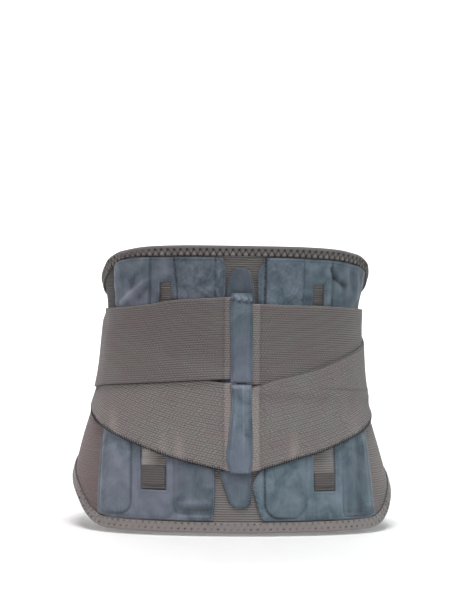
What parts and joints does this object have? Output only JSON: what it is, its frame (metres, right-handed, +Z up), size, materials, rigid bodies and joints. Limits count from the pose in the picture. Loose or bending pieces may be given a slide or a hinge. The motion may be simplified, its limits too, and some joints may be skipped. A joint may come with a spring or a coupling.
{
  "type": "elastic support belt",
  "caption": "Wide elastic lumbar support belt in its worn shape, with suede stay panels, elastic pull straps that cross at the sides and a folded edge binding.",
  "frame": {"origin": "centre of the waist opening at its narrowest height", "axes": "+Z up; the back of the belt faces -Y, so the front closure is at +Y; the wearer's left side is at -X"},
  "size_m": [0.3487, 0.2726, 0.2983],
  "materials": {
    "ribbed_elastic": "matte ribbed weave",
    "suede": "brushed nap",
    "binding_tape": "soft folded tape, zigzag stitched",
    "dark_elastic": "matte ribbed weave",
    "hook_tape": "matte hook tape"
  },
  "bodies": {
    "root": {"back_panel": "ribbed_elastic", "wing_left": "ribbed_elastic", "wing_right": "ribbed_elastic", "upper_strap_left": "ribbed_elastic", "upper_strap_right": "ribbed_elastic", "lower_strap_left": "ribbed_elastic", "lower_strap_right": "ribbed_elastic", "panel_left": "suede", "panel_right": "suede", "spine_pad": "suede", "upper_centre_tape": "suede", "lower_centre_tape": "suede", "edge_binding": "binding_tape", "window_tab_left": "dark_elastic", "window_tab_right": "dark_elastic", "front_fastener": "hook_tape", "strap_tab_left": "hook_tape", "strap_tab_right": "hook_tape"}
  },
  "joints": []
}
